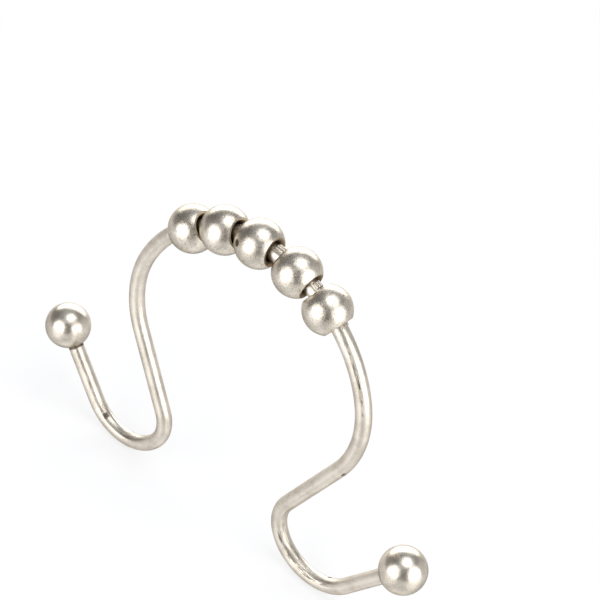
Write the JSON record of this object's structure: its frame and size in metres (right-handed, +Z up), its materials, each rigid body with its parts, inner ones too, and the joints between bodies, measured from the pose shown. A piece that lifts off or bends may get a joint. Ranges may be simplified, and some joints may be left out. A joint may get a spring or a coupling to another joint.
{
  "type": "curtain hook",
  "caption": "Double curtain hook bent from one metal wire, with rolling balls strung along its crown and a ball pressed on each upturned end.",
  "frame": {"origin": "top of the rod space, where the rod touches the rollers in the middle of the crown", "axes": "+Z up towards the crown, +X across the hook's width, +Y along the curtain rod"},
  "size_m": [0.0832, 0.008, 0.0602],
  "materials": {
    "wire": "satin nickel plate, drawn along the wire",
    "rollers": "satin nickel plate, tumbled",
    "end_balls": "satin nickel plate, tumbled"
  },
  "bodies": {
    "wire": {"hook_wire": "wire", "end_ball_left": "end_balls", "end_ball_right": "end_balls"},
    "roller_1": {"roller_1": "rollers"},
    "roller_2": {"roller_2": "rollers"},
    "roller_3": {"roller_3": "rollers"},
    "roller_4": {"roller_4": "rollers"},
    "roller_5": {"roller_5": "rollers"}
  },
  "joints": [
    {"name": "roller_1_spin", "type": "hinge", "parent": "wire", "child": "roller_1", "pos_m": [-0.01491, 0, -0.00116], "axis": [0.7862, 0, 0.618], "continuous": true},
    {"name": "roller_2_spin", "type": "hinge", "parent": "wire", "child": "roller_2", "pos_m": [-0.00883, 0, 0.00233], "axis": [0.9306, 0, 0.3661], "continuous": true},
    {"name": "roller_3_spin", "type": "hinge", "parent": "wire", "child": "roller_3", "pos_m": [-0.00201, 0, 0.00392], "axis": [0.9965, 0, 0.0834], "continuous": true},
    {"name": "roller_4_spin", "type": "hinge", "parent": "wire", "child": "roller_4", "pos_m": [0.0058, 0, 0.00329], "axis": [0.9707, 0, -0.2404], "continuous": true},
    {"name": "roller_5_spin", "type": "hinge", "parent": "wire", "child": "roller_5", "pos_m": [0.01259, 0, 0.00045], "axis": [0.8529, 0, -0.5221], "continuous": true}
  ]
}
